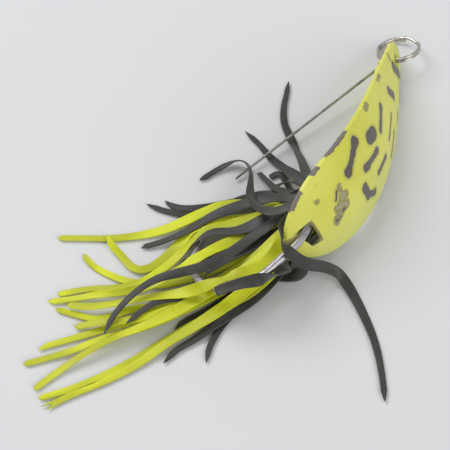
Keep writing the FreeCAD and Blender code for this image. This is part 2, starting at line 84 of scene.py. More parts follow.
# Routes of the strips, from inside the band out to the tip. The first five black strips leave the
# band's front end, and all the others its rear end.
BLACK_ROUTES = (
    ((-0.0124, -0.0053, 0.0127), (-0.009, -0.003, 0.011), (-0.0075, -0.0005, 0.007), (-0.002, 0.003, 0.004),
     (0.0025, 0.0065, 0.0016), (0.006, 0.0095, 0.0006), (0.009, 0.0125, 0.0006), (0.0135, 0.0145, 0.0006),
     (0.018, 0.0155, 0.0006), (0.0215, 0.0165, 0.0006)),
    ((-0.0126, -0.0043, 0.0112), (-0.0105, -0.002, 0.0095), (-0.0085, 0.0005, 0.006),
     (-0.0055, 0.0035, 0.004), (-0.0035, 0.0075, 0.0018), (-0.002, 0.0105, 0.0005),
     (-0.0005, 0.013, 0.0005), (0.0015, 0.0165, 0.0005), (0.003, 0.02, 0.0005)),
    ((-0.0129, -0.0066, 0.008), (-0.01, -0.003, 0.006), (-0.0085, 0.0015, 0.005), (-0.008, 0.004, 0.0036),
     (-0.0085, 0.006, 0.0018), (-0.01, 0.0075, 0.0006)),
    ((-0.0128, -0.0045, 0.0095), (-0.0115, -0.002, 0.008), (-0.0115, 0.0005, 0.006),
     (-0.012, 0.0025, 0.005), (-0.012, 0.0055, 0.0044), (-0.0095, 0.009, 0.0026), (-0.007, 0.012, 0.0008)),
    ((-0.0128, -0.0087, 0.0088), (-0.0115, -0.0065, 0.0055), (-0.0105, -0.002, 0.0034),
     (-0.0095, 0.0025, 0.0022), (-0.007, 0.005, 0.0014), (-0.005, 0.007, 0.0008), (-0.0055, 0.0085, 0.0006),
     (-0.007, 0.009, 0.0006)),
    ((-0.016, -0.0065, 0.0139), (-0.0185, -0.005, 0.015), (-0.0205, -0.0015, 0.0135),
     (-0.022, 0.0005, 0.0125), (-0.0225, 0.003, 0.011), (-0.0215, 0.0065, 0.01), (-0.019, 0.009, 0.0085),
     (-0.015, 0.0105, 0.007), (-0.01, 0.0125, 0.005), (-0.0065, 0.0155, 0.003), (-0.0065, 0.0185, 0.0018),
     (-0.009, 0.0205, 0.001), (-0.012, 0.0225, 0.0006), (-0.015, 0.024, 0.0006)),
    ((-0.0163, -0.0043, 0.0124), (-0.0168, -0.0016, 0.0107), (-0.0145, 0.0025, 0.0045),
     (-0.013, 0.0065, 0.003), (-0.0155, 0.011, 0.002), (-0.019, 0.015, 0.001), (-0.0225, 0.019, 0.0006),
     (-0.0245, 0.022, 0.0006), (-0.0255, 0.025, 0.0006), (-0.026, 0.029, 0.0006), (-0.026, 0.0325, 0.0006)),
    ((-0.0164, -0.004, 0.0116), (-0.015, -0.0018, 0.0086), (-0.0135, 0.003, 0.003),
     (-0.0135, 0.008, 0.0012), (-0.017, 0.0135, 0.0008), (-0.0205, 0.0185, 0.0006),
     (-0.023, 0.0225, 0.0008), (-0.024, 0.026, 0.0006), (-0.024, 0.0295, 0.0006)),
    ((-0.0162, -0.0049, 0.0131), (-0.0178, -0.0024, 0.0129), (-0.0155, 0.0015, 0.0085),
     (-0.016, 0.005, 0.007), (-0.018, 0.0085, 0.0058), (-0.0205, 0.012, 0.0046), (-0.024, 0.016, 0.0036),
     (-0.029, 0.0195, 0.0026), (-0.033, 0.023, 0.0016), (-0.0355, 0.026, 0.0008),
     (-0.0375, 0.0285, 0.0006)),
    ((-0.0165, -0.0052, 0.0106), (-0.0185, -0.0035, 0.0095), (-0.0195, 0.0, 0.0075),
     (-0.022, 0.0035, 0.007), (-0.0245, 0.006, 0.006), (-0.027, 0.0095, 0.005), (-0.0285, 0.014, 0.0046),
     (-0.0313, 0.0156, 0.0042), (-0.0342, 0.0164, 0.0036)),
    ((-0.0161, -0.0056, 0.0136), (-0.0185, -0.0035, 0.0137), (-0.0195, -0.0005, 0.011),
     (-0.0215, 0.001, 0.0095), (-0.024, 0.002, 0.008), (-0.0275, 0.0045, 0.007), (-0.033, 0.007, 0.0065),
     (-0.039, 0.0105, 0.0072), (-0.043, 0.015, 0.0073), (-0.0465, 0.02, 0.0064), (-0.051, 0.023, 0.0052),
     (-0.0555, 0.0245, 0.0046), (-0.0595, 0.025, 0.0038), (-0.0625, 0.025, 0.0032)),
    ((-0.0162, -0.0073, 0.0128), (-0.019, -0.0055, 0.0126), (-0.0215, -0.0025, 0.0095),
     (-0.024, 0.0, 0.0072), (-0.0275, 0.0025, 0.0056), (-0.031, 0.005, 0.0056), (-0.0348, 0.0069, 0.0066),
     (-0.0386, 0.0088, 0.0074), (-0.0426, 0.011, 0.0074)),
    ((-0.0167, -0.0048, 0.0091), (-0.0185, -0.0025, 0.0066), (-0.0185, 0.001, 0.0046),
     (-0.0235, 0.004, 0.003), (-0.028, 0.0075, 0.0016), (-0.0325, 0.0125, 0.0006),
     (-0.0355, 0.0165, 0.0006), (-0.039, 0.019, 0.0006)),
    ((-0.0167, -0.0064, 0.0082), (-0.02, -0.005, 0.0062), (-0.024, -0.002, 0.0046), (-0.03, 0.001, 0.0036),
     (-0.0355, 0.004, 0.0026), (-0.0415, 0.008, 0.003), (-0.0465, 0.0127, 0.0036), (-0.05, 0.0175, 0.004),
     (-0.054, 0.02, 0.0038), (-0.0585, 0.0215, 0.0038)),
    ((-0.0167, -0.0081, 0.0084), (-0.0205, -0.007, 0.0062), (-0.026, -0.004, 0.0038),
     (-0.031, -0.0015, 0.0024), (-0.0365, 0.0015, 0.0014), (-0.042, 0.0045, 0.0008),
     (-0.0465, 0.0075, 0.0006), (-0.0505, 0.0105, 0.0006), (-0.0545, 0.0125, 0.0006)),
    ((-0.0166, -0.0089, 0.009), (-0.021, -0.0079, 0.0063), (-0.0265, -0.005, 0.0048),
     (-0.03, -0.0045, 0.0036), (-0.0345, -0.003, 0.0022), (-0.0385, -0.0015, 0.0016),
     (-0.043, 0.0005, 0.0016), (-0.0485, 0.0035, 0.0016), (-0.054, 0.0065, 0.0008),
     (-0.0585, 0.0095, 0.0006), (-0.0625, 0.0105, 0.0006)),
    ((-0.0164, -0.0097, 0.0105), (-0.021, -0.0096, 0.0086), (-0.026, -0.0069, 0.0066),
     (-0.0272, -0.0084, 0.0036), (-0.0288, -0.0083, 0.0012), (-0.0305, -0.0058, 0.0006),
     (-0.0315, -0.0028, 0.0006), (-0.035, -0.001, 0.0006), (-0.0405, 0.0005, 0.0006),
     (-0.045, 0.002, 0.0006), (-0.0495, 0.003, 0.0006), (-0.0545, 0.003, 0.0006), (-0.0585, 0.002, 0.0006)),
    ((-0.0162, -0.0095, 0.0123), (-0.02, -0.0091, 0.0102), (-0.024, -0.0068, 0.0087),
     (-0.0275, -0.005, 0.0076), (-0.0318, -0.0048, 0.0084), (-0.035, -0.0061, 0.0103),
     (-0.0371, -0.0065, 0.0119), (-0.0394, -0.0045, 0.0131), (-0.0417, -0.002, 0.0132),
     (-0.0437, 0.0018, 0.0121), (-0.0464, 0.0052, 0.0106)),
    ((-0.0161, -0.009, 0.013), (-0.0186, -0.0077, 0.0146), (-0.0235, -0.003, 0.0143),
     (-0.0285, -0.0022, 0.0146), (-0.0318, -0.0048, 0.0146), (-0.0323, -0.008, 0.0125),
     (-0.0305, -0.0105, 0.009), (-0.0275, -0.013, 0.0056), (-0.026, -0.016, 0.003),
     (-0.027, -0.0185, 0.0016), (-0.0295, -0.022, 0.0006), (-0.034, -0.0265, 0.0006),
     (-0.038, -0.03, 0.0006), (-0.0425, -0.033, 0.0006), (-0.047, -0.0355, 0.0006),
     (-0.051, -0.0375, 0.0006)),
)
CHARTREUSE_ROUTES = (
    ((-0.0165, -0.004, 0.0107), (-0.017, -0.0013, 0.0086), (-0.0165, 0.0015, 0.0052),
     (-0.0165, 0.006, 0.004), (-0.0175, 0.0115, 0.0026), (-0.0195, 0.016, 0.0018), (-0.023, 0.019, 0.0016),
     (-0.027, 0.022, 0.0014), (-0.031, 0.0255, 0.0008), (-0.0345, 0.03, 0.0006), (-0.038, 0.0355, 0.0006),
     (-0.0405, 0.0415, 0.0006), (-0.043, 0.047, 0.0006)),
    ((-0.0166, -0.0043, 0.0098), (-0.0175, -0.002, 0.0074), (-0.0175, 0.001, 0.0042),
     (-0.0195, 0.0055, 0.0026), (-0.0225, 0.011, 0.0024), (-0.026, 0.016, 0.003), (-0.0295, 0.0195, 0.0018),
     (-0.0345, 0.021, 0.0006), (-0.039, 0.0225, 0.0006), (-0.0425, 0.0245, 0.0008),
     (-0.0435, 0.0275, 0.001), (-0.0415, 0.031, 0.0008), (-0.04, 0.0345, 0.0014), (-0.038, 0.0375, 0.0016)),
    ((-0.0167, -0.0055, 0.0085), (-0.0195, -0.0035, 0.0056), (-0.02, 0.0005, 0.0034),
     (-0.0245, 0.0035, 0.002), (-0.031, 0.007, 0.0012), (-0.0365, 0.011, 0.0008), (-0.041, 0.0155, 0.0006),
     (-0.045, 0.0205, 0.0006), (-0.047, 0.0265, 0.0008), (-0.047, 0.0315, 0.0006),
     (-0.0465, 0.0365, 0.0006), (-0.0445, 0.0395, 0.0006)),
    ((-0.0163, -0.0053, 0.0119), (-0.0185, -0.003, 0.011), (-0.0175, 0.0005, 0.009),
     (-0.0195, 0.0045, 0.0056), (-0.022, 0.0085, 0.004), (-0.025, 0.012, 0.0034), (-0.028, 0.0157, 0.0032),
     (-0.032, 0.018, 0.0028), (-0.0375, 0.0195, 0.0016), (-0.0425, 0.0215, 0.0018),
     (-0.047, 0.0245, 0.0018), (-0.05, 0.0285, 0.0014), (-0.0525, 0.035, 0.0006), (-0.0565, 0.04, 0.0006)),
    ((-0.0162, -0.0063, 0.0127), (-0.019, -0.004, 0.012), (-0.021, 0.0, 0.0085), (-0.024, 0.003, 0.006),
     (-0.027, 0.0065, 0.0046), (-0.0305, 0.01, 0.0044), (-0.0355, 0.013, 0.0053), (-0.0395, 0.0155, 0.005),
     (-0.044, 0.019, 0.0032), (-0.048, 0.0225, 0.0024), (-0.051, 0.027, 0.0022), (-0.0535, 0.032, 0.0014),
     (-0.0565, 0.0365, 0.0008), (-0.059, 0.041, 0.0006)),
    ((-0.0167, -0.0073, 0.0082), (-0.0205, -0.006, 0.0054), (-0.025, -0.002, 0.0028),
     (-0.0315, 0.0005, 0.0014), (-0.037, 0.004, 0.0008), (-0.0425, 0.008, 0.0006), (-0.0465, 0.013, 0.0006),
     (-0.05, 0.018, 0.0006), (-0.053, 0.0235, 0.0006), (-0.0585, 0.028, 0.0006), (-0.0595, 0.0335, 0.0006),
     (-0.06, 0.0385, 0.0006)),
    ((-0.0166, -0.0067, 0.0093), (-0.0195, -0.0045, 0.0074), (-0.0225, -0.0015, 0.005),
     (-0.028, 0.001, 0.0026), (-0.0325, 0.0035, 0.0016), (-0.0375, 0.007, 0.001), (-0.042, 0.0105, 0.0013),
     (-0.048, 0.014, 0.0015), (-0.053, 0.018, 0.0012), (-0.057, 0.0225, 0.0012), (-0.061, 0.027, 0.0008),
     (-0.066, 0.0325, 0.0006), (-0.071, 0.038, 0.0006)),
    ((-0.0165, -0.0082, 0.0098), (-0.02, -0.0066, 0.0082), (-0.0245, -0.002, 0.0065),
     (-0.03, -0.0005, 0.005), (-0.035, 0.002, 0.0036), (-0.0395, 0.0055, 0.0024), (-0.0445, 0.009, 0.0018),
     (-0.0495, 0.013, 0.0014), (-0.055, 0.017, 0.0014), (-0.0595, 0.0215, 0.0014), (-0.0635, 0.026, 0.0014),
     (-0.0675, 0.0295, 0.001), (-0.0715, 0.034, 0.0006), (-0.0755, 0.0385, 0.0006)),
    ((-0.016, -0.0083, 0.0136), (-0.0195, -0.007, 0.0132), (-0.023, -0.004, 0.0117),
     (-0.028, -0.0025, 0.0098), (-0.0335, 0.0005, 0.008), (-0.038, 0.0035, 0.0062),
     (-0.0425, 0.0075, 0.0044), (-0.048, 0.011, 0.004), (-0.0535, 0.0145, 0.0038), (-0.058, 0.0185, 0.0034),
     (-0.062, 0.0225, 0.0028), (-0.0665, 0.026, 0.002), (-0.071, 0.029, 0.0012), (-0.0755, 0.0315, 0.0006),
     (-0.08, 0.0335, 0.0006)),
    ((-0.0165, -0.0094, 0.0097), (-0.0205, -0.0085, 0.0079), (-0.0255, -0.0042, 0.0062),
     (-0.03, -0.0035, 0.0048), (-0.034, -0.002, 0.0034), (-0.0385, 0.0, 0.0022), (-0.042, 0.0025, 0.002),
     (-0.0475, 0.0055, 0.0014), (-0.052, 0.009, 0.0008), (-0.0575, 0.0125, 0.0006),
     (-0.0635, 0.016, 0.0006), (-0.0685, 0.0195, 0.0006), (-0.073, 0.023, 0.0006), (-0.0775, 0.027, 0.0006),
     (-0.0815, 0.0315, 0.0006)),
    ((-0.0163, -0.0098, 0.0114), (-0.02, -0.0079, 0.009), (-0.0245, -0.0048, 0.0076),
     (-0.028, -0.0035, 0.0068), (-0.0325, -0.0028, 0.0064), (-0.037, -0.001, 0.0054),
     (-0.0415, 0.0015, 0.0042), (-0.047, 0.0045, 0.0032), (-0.052, 0.008, 0.002), (-0.058, 0.012, 0.0014),
     (-0.064, 0.015, 0.0008), (-0.0695, 0.0185, 0.0006), (-0.0745, 0.0225, 0.0006),
     (-0.079, 0.0265, 0.0006), (-0.0835, 0.0295, 0.0006)),
    ((-0.016, -0.0074, 0.0139), (-0.019, -0.0057, 0.014), (-0.0215, -0.0025, 0.0122),
     (-0.0245, -0.0025, 0.0115), (-0.0285, -0.003, 0.0108), (-0.0325, -0.0025, 0.0098),
     (-0.0365, -0.001, 0.0098), (-0.0408, 0.003, 0.0105), (-0.0445, 0.007, 0.0098),
     (-0.0465, 0.0125, 0.0052), (-0.049, 0.018, 0.0038), (-0.052, 0.0235, 0.0026), (-0.0555, 0.0285, 0.0022),
     (-0.0575, 0.0325, 0.0018), (-0.0585, 0.0365, 0.0014)),
    ((-0.0165, -0.0057, 0.0096), (-0.0195, -0.0042, 0.0083), (-0.023, -0.0025, 0.008),
     (-0.0265, -0.001, 0.0076), (-0.03, 0.0005, 0.0066), (-0.0335, 0.0025, 0.0052), (-0.0365, 0.005, 0.004),
     (-0.04, 0.007, 0.0034), (-0.045, 0.01, 0.0032), (-0.0505, 0.014, 0.003), (-0.0545, 0.018, 0.0032),
     (-0.058, 0.023, 0.003), (-0.06, 0.028, 0.002), (-0.0625, 0.0325, 0.0008)),
)
# Real length and width of each strip in metres, with each one's tip and its turns in degrees.
BLACK_STRIPS = (
    (0.0445, 0.0025, "point", (0, 10, 30, 60, 40, 10)),
    (0.0322, 0.0026, "point", (0, 0, 15, 10, 0)),
    (0.0178, 0.0028, "square", (0, 40, 20)),
    (0.0205, 0.0026, "square", (0, -20, 10, 0)),
    (0.0233, 0.0029, "square", (0, 0, 50, 20)),
    (0.0487, 0.0026, "ragged", (0, 0, 40, 65, 30, 0)),
    (0.0453, 0.0028, "point", (0, -10, -20, 15, 0)),
    (0.0410, 0.0029, "slant", (0, 15, 0, -10)),
    (0.0455, 0.0029, "ragged", (0, 0, -10, 15, 0)),
    (0.0300, 0.0036, "split", (0, 0, 20, 0)),
    (0.0599, 0.0028, "point", (0, 10, 0, -15, 10, 0)),
    (0.0338, 0.0033, "split", (0, -10, 10, 0)),
    (0.0354, 0.0031, "slant", (0, 0, 15, 0)),
    (0.0518, 0.0029, "point", (0, 20, -15, 10)),
    (0.0445, 0.0029, "slant", (0, -15, 10, 0)),
    (0.0515, 0.0029, "point", (0, 10, -20, 0)),
    (0.0508, 0.0029, "point", (0, 0, 20, -10, 0)),
    (0.0377, 0.0046, "square", (0, 0, 10, 0)),
    (0.0704, 0.0028, "point", (0, -10, 20, 50, 10, 0)),
)
CHARTREUSE_STRIPS = (
    (0.0627, 0.0028, "round", (0, 10, -10, 0)),
    (0.0586, 0.0032, "slant", (0, 0, 20, -15, 0)),
    (0.0610, 0.0029, "round", (0, -15, 15, 0)),
    (0.0665, 0.0029, "round", (0, 10, 0, 20, 0)),
    (0.0674, 0.0029, "round", (0, 0, 15, -20, 0)),
    (0.0679, 0.0029, "round", (0, 15, 0, -15, 0)),
    (0.0727, 0.0029, "slant", (0, -10, 20, 0)),
    (0.0772, 0.0029, "round", (0, 0, -20, 15, 0)),
    (0.0786, 0.0030, "round", (0, 10, -10, 25, 0)),
    (0.0790, 0.0029, "round", (0, 0, 15, -10, 0)),
    (0.0798, 0.0029, "split", (0, -10, 10, 0)),
    (0.0684, 0.0033, "round", (0, 0, -10, 20, -10)),
    (0.0627, 0.0033, "round", (0, 10, -15, 10, 0)),
)

# ---- paint on the spoon's face: (start, end, half width, waist) in mm from the tail tip ---------
SPOTS = (
    ((60.9, 1.4), (63.0, -2.4), 1.4, 0.9), ((50.7, 2.5), (52.4, -0.5), 1.15, 0.85),
    ((42.4, 4.7), (36.9, 2.2), 0.9, 0.8), ((46.0, -1.0), (39.9, -3.1), 0.52, 0.8),
    ((33.5, 4.3), (31.3, 4.8), 1.7, 1.0), ((26.1, 8.2), (19.6, 4.8), 1.4, 0.62),
    ((31.7, 0.5), (25.1, 1.1), 1.05, 0.75), ((26.2, 0.7), (25.0, 1.2), 1.05, 1.0),
    ((34.8, -4.3), (29.4, -4.2), 0.8, 0.8), ((22.3, -2.6), (22.9, -5.4), 1.25, 0.9),
    ((22.9, -5.4), (25.6, -7.0), 1.05, 0.8), ((64.5, -4.2), (57.3, -6.4), 0.32, 0.8),
    ((52.3, -5.9), (50.1, -6.6), 0.4, 0.8), ((44.7, -5.3), (38.9, -7.8), 0.5, 0.8),
    ((14.3, 3.8), (13.2, 2.1), 0.35, 0.8), ((15.4, -1.2), (11.6, -2.6), 0.5, 0.8),
)
BARE_PATCHES = (             # where the paint is chipped through to old varnish, with a dark rim
    ((15.4, 1.4), (13.2, -0.4), 1.3, 0.8), ((15.0, -0.8), (11.6, -2.4), 1.0, 0.8),
    ((15.7, 4.2), (15.3, 3.4), 0.4, 0.9), ((37.7, 9.4), (36.0, 9.6), 0.4, 0.9),
    ((49.9, 7.6), (48.0, 8.2), 0.4, 0.9), ((61.1, 5.0), (60.9, 4.2), 0.4, 0.9),
    ((9.1, 5.4), (9.0, 5.2), 0.24, 1.0),
)


# ---- places ----------------------------------------------------------------------------------
def lure(forward, left, outward):
    """A point given in the lure's own axes, in mm from its tail tip."""
    return TAIL_AT + LURE_AXES @ (Vector((forward, left, outward)) * MM)


def held(value):
    """The value, kept between 0 and 1."""
    return min(max(value, 0.0), 1.0)


def smooth(value):
    """0 below 0, 1 above 1 and a soft step between them."""
    value = held(value)
    return value * value * (3 - 2 * value)


def add(name, data):
    """A new object in the scene that shows the data."""
    thing = bpy.data.objects.new(name, data)
    bpy.context.scene.collection.objects.link(thing)
    return thing


def finish_piece(piece, body, slot, material, *nodes):
    """Gives a piece its material and its body, and hides the CAD nodes that it stands for; slot is not used.
    """
    piece.data.materials.clear()
    piece.data.materials.append(material)
    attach(piece, body)
    if nodes:
        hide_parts(*nodes)


def make_camera():
    """A long lens that looks down on the lure from behind, a little from its right."""
    azimuth, elevation = math.radians(VIEW_AZIMUTH), math.radians(VIEW_ELEVATION)
    back = Vector((math.sin(azimuth) * math.cos(elevation), -math.cos(azimuth) * math.cos(elevation),
                   math.sin(elevation)))
    data = bpy.data.cameras.new("camera")
    data.lens = LENS
    data.clip_start = 0.01
    data.clip_end = 20
    camera = add("camera", data)
    camera.location = VIEW_TARGET + back * VIEW_DISTANCE
    camera.rotation_euler = back.to_track_quat("Z", "Y").to_euler()
    bpy.context.scene.camera = camera


# ---- strips ----------------------------------------------------------------------------------
def centreline(route):
    """Points along the smooth curve that has the route's points as its control points."""
    curve = bpy.data.curves.new("route", "CURVE")
    curve.dimensions = "3D"
    curve.resolution_u = 24
    spline = curve.splines.new("NURBS")
    spline.points.add(len(route) - 1)
    for point, place in zip(spline.points, route):
        point.co = (*place, 1)
    spline.order_u = 3
    spline.use_endpoint_u = True
    holder = add("route", curve)
    bpy.context.view_layer.update()
    mesh = bpy.data.meshes.new_from_object(holder)
    points = [vertex.co.copy() for vertex in mesh.vertices]
    bpy.data.objects.remove(holder)
    bpy.data.curves.remove(curve)
    bpy.data.meshes.remove(mesh)
    return points


def evenly(points, step):
    """The same line with points one step apart."""
    reach = [0.0]
    for before, after in zip(points, points[1:]):
        reach.append(reach[-1] + (after - before).length)
    count = max(2, round(reach[-1] / step))
    spaced, run = [], 0
    for i in range(count + 1):
        goal = reach[-1] * i / count
        while run < len(points) - 2 and reach[run + 1] < goal:
            run += 1
        share = (goal - reach[run]) / max(reach[run + 1] - reach[run], 1e-9)
        spaced.append(points[run].lerp(points[run + 1], min(share, 1)))
    return spaced


def rigid_tree():
    """What the strips lie against: the hook, the spoon and the collar."""
    corners, faces = [], []
    for node in ("hook", "spoon_body", "skirt_collar"):
        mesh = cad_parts[node].data
        start = len(corners)
        corners += [vertex.co.copy() for vertex in mesh.vertices]
        faces += [[start + i for i in polygon.vertices] for polygon in mesh.polygons]
    return BVHTree.FromPolygons(corners, faces)


def tangents_of(points):
    """The line's direction at each of its points."""
    ahead = points[1:] + points[-1:]
    behind = points[:1] + points[:-1]
    return [(a - b).normalized() for a, b in zip(ahead, behind)]


def across_shank(point):
    """The direction from the hook's shank out to a point."""
    start, end = lure(*SHANK_REAR), lure(*EYE_AT)
    along = (end - start).normalized()
    gap = point - start
    return (gap - along * gap.dot(along)).normalized()


def turn_at(turns, share):
    """The strip's own turn in radians, from the list of turns spread along its length."""
    place = share * (len(turns) - 1)
    i = min(int(place), len(turns) - 2)
    return math.radians(turns[i] + (turns[i + 1] - turns[i]) * smooth(place - i))


def square_to(direction, tangent):
    """The direction at right angles to the tangent that is nearest to the one given."""
    return (direction - tangent * direction.dot(tangent)).normalized()


def flat_normals(points, tangents, turns, tree):
    """Which way a strip's broad face looks: flat to any surface close by, and turning freely elsewhere."""
    up = Vector((0, 0, 1))
    last = square_to(across_shank(points[0]), tangents[0])
    normals = []
    for i, (point, tangent) in enumerate(zip(points, tangents)):
        at_root = 1 - smooth(i * STRIP_STEP / ROOT_REACH)
        nearest, _, _, gap = tree.find_nearest(point)
        lying = 0.0
        pull = across_shank(point) * at_root + up * UP_PULL * math.copysign(1 - at_root, last.z)
        for away, distance in ((point - nearest, gap), (up * point.z, point.z)):
            share = smooth((NEAR - distance) / (NEAR - TOUCHING)) * (1 - at_root)
            pull += away.normalized() * math.copysign(share * SURFACE_PULL, away.dot(last))
            lying = max(lying, share)
        last = square_to(last * STEADINESS + pull, tangent)
        turn = Matrix.Rotation(turn_at(turns, i / (len(points) - 1)) * (1 - lying), 3, tangent)
        normals.append(turn @ last)
    for _ in range(EVENING_PASSES):
        before, after = normals[:1] + normals, normals[1:] + normals[-1:]
        blended = [a + b * 2 + c for a, b, c in zip(before, normals, after)]
        normals = [square_to(normal, tangent) for normal, tangent in zip(blended, tangents)]
    return normals


def tip_cut(kind, across, seed):
    """How far the strip's end is cut back at one place across it, -1 at one edge and 1 at the other."""
    depth = TIP_CUTS[kind]
    if kind == "point":
        return depth * abs(across) ** 1.3
    if kind == "round":
        return depth * abs(across) ** 2.2
    if kind == "slant":
        return depth * (1 - across) / 2 + SLANT_CORNER * abs(across)
    if kind == "split":
        return depth * (1 - abs(across)) + SPLIT_SHORTER * max(across, 0)
    if kind == "ragged":
        return depth * abs(noise.noise(Vector((across * 2.1, seed, 0.5)))) + depth * abs(across) ** 2
    return depth * abs(across) ** 4


def strip_half_width(width, done, run, seed):
    """Half the width at one distance along a strip: squeezed at its root, narrower over its last part."""
    open_out = ROOT_SHARE + (1 - ROOT_SHARE) * smooth(done / ROOT_REACH)
    open_out *= 1 + (END_SHARE - 1) * smooth(done / run * 1.5 - 0.5)
    waver = 1 + WAVER * noise.noise(Vector((done * WAVERS, seed * 3.1, 0)))
    return width / 2 * open_out * waver


def close_tube(work, rings):
    """Faces from each cross-section to the next and over both ends."""
    size = len(rings[0])
    for low, high in zip(rings, rings[1:]):
        for j in range(size):
            k = (j + 1) % size
            work.faces.new((low[j], low[k], high[k], high[j]))
    for ring, flip in ((rings[0], False), (rings[-1], True)):
        for j in range(len(EDGE_STATIONS) - 1):
            cap = (ring[j], ring[j + 1], ring[size - 2 - j], ring[size - 1 - j])
            work.faces.new(cap if flip else cap[::-1])
    bmesh.ops.recalc_face_normals(work, faces=work.faces)


def make_ribbon(name, route, width, kind, turns, seed, tree):
    """A flat rubber strip along its route, with the line down its middle that its cord is measured by."""
    points = evenly(centreline([Vector(place) for place in route]), STRIP_STEP)
    tangents = tangents_of(points)
    normals = flat_normals(points, tangents, turns, tree)
    run = STRIP_STEP * (len(points) - 1)
    cup = CUP_DEPTH * math.copysign(1, math.sin(seed * 2.7))
    work = bmesh.new()
    uv = work.loops.layers.uv.new("UVMap")
    rings, places = [], {}
    for i, (point, tangent, normal) in enumerate(zip(points, tangents, normals)):
        side = tangent.cross(normal)
        done = i * STRIP_STEP
        half = strip_half_width(width, done, run, seed)
        room = smooth((point.z - half) / half)
        near_tip = smooth(1 - (run - done) / TIP_REACH)
        ring = []
        for face in (1, -1):
            for across in EDGE_STATIONS[::face]:
                thick = STRIP_THICKNESS / 2 * (EDGE_THINNING if abs(across) == 1 else 1)
                lift = thick * face + cup * across * across * room
                back = tip_cut(kind, across, seed) * near_tip
                place = point + side * (across * half) + normal * lift - tangent * back
                place.z = max(place.z, TABLE_GAP)
                corner = work.verts.new(place)
                places[corner] = (across * 0.5 + 0.5, done * UV_PER_METRE + seed)
                ring.append(corner)
        rings.append(ring)
    close_tube(work, rings)
    for face in work.faces:
        face.smooth = True
        for loop in face.loops:
            loop[uv].uv = places[loop.vert]
    mesh = bpy.data.meshes.new(name)
    work.to_mesh(mesh)
    work.free()
    return add(name, mesh), points[:-TIP_POINTS]


def make_skirt(materials):
    """Every strip in place of its CAD cord, the black ones first."""
    tree = rigid_tree()
    for colour, routes, strips in (("black", BLACK_ROUTES, BLACK_STRIPS),
                                   ("chartreuse", CHARTREUSE_ROUTES, CHARTREUSE_STRIPS)):
        for number, (route, (length, width, kind, turns)) in enumerate(zip(routes, strips), start=1):
            seed = number + (0 if colour == "black" else 40)
            piece, path = make_ribbon(f"{colour}_ribbon_{number:02d}", route, width, kind, turns, seed, tree)
            finish_piece(piece, "root", f"{colour}_rubber", materials[colour],
                         f"{colour}_strip_{number:02d}")


# ---- materials -------------------------------------------------------------------------------
class Shader:
    """A material's nodes, each added and wired in one call."""

    def __init__(self, name, roughness, metallic=0.0):
        self.material = bpy.data.materials.new(name)
        self.material.use_nodes = True
        self.tree = self.material.node_tree
        self.surface = self.tree.nodes["Principled BSDF"]
        self.surface.inputs["Roughness"].default_value = roughness
        self.surface.inputs["Metallic"].default_value = metallic
        self.place = self.add("ShaderNodeTexCoord").outputs["Object"]

    def add(self, kind, settings=None, **wires):
        """A node with its settings and its inputs: _0 is the first input, any other word its name."""
        node = self.tree.nodes.new(kind)
        for key, value in (settings or {}).items():
            setattr(node, key, value)
        for key, value in wires.items():
            self.wire(node.inputs[int(key[1:]) if key[0] == "_" else key.replace("_", " ")], value)
        return node

    def wire(self, socket, value):
        """Links the value to the socket if it comes from a node, and sets it there if it is plain."""
        if isinstance(value, bpy.types.NodeSocket):
            self.tree.links.new(value, socket)
        else:
            socket.default_value = value

    def noise(self, scale, detail=3.0, roughness=0.5, place=None):
        """Soft noise; its scale is in waves per metre, or per unit of another place that is given."""
        node = self.add("ShaderNodeTexNoise", Vector=place or self.place, Scale=scale, Detail=detail,
                        Roughness=roughness)
        return node.outputs["Fac"]

    def math(self, operation, first, second=0.0, clamp=False):
        node = self.add("ShaderNodeMath", {"operation": operation, "use_clamp": clamp}, _0=first, _1=second)
        return node.outputs[0]

    def step(self, value, low, high, result=(0.0, 1.0)):
        """A soft step from low to high, or down from high to low where low is the larger number."""
        node = self.add("ShaderNodeMapRange", {"interpolation_type": "SMOOTHSTEP"}, Value=value)
        for key, number in zip(("From Min", "From Max", "To Min", "To Max"), (low, high, *result)):
            node.inputs[key].default_value = number
        return node.outputs[0]

    def mix(self, share, first, second):
        """The first colour where the share is 0, and the second where it is 1."""
        node = self.add("ShaderNodeMix", {"data_type": "RGBA"}, _0=share)
        for index, colour in ((6, first), (7, second)):
            self.wire(node.inputs[index], (*colour, 1) if isinstance(colour, tuple) else colour)
        return node.outputs[2]

    def scaled(self, factors, place=None):
        """The place, squeezed or stretched by a factor along each axis."""
        node = self.add("ShaderNodeVectorMath", {"operation": "MULTIPLY"}, _0=place or self.place)
        node.inputs[1].default_value = factors
        return node.outputs[0]

    def dot(self, direction, place):
        node = self.add("ShaderNodeVectorMath", {"operation": "DOT_PRODUCT"}, _0=place)
        node.inputs[1].default_value = direction
        return node.outputs["Value"]

    def colour(self, value):
        self.wire(self.surface.inputs["Base Color"], value)

    def bump(self, height, depth, strength):
        """Small relief, with its depth in metres."""
        node = self.add("ShaderNodeBump", Height=height, Distance=depth, Strength=strength)
        self.wire(self.surface.inputs["Normal"], node.outputs[0])

    def roughness(self, value):
        self.wire(self.surface.inputs["Roughness"], value)


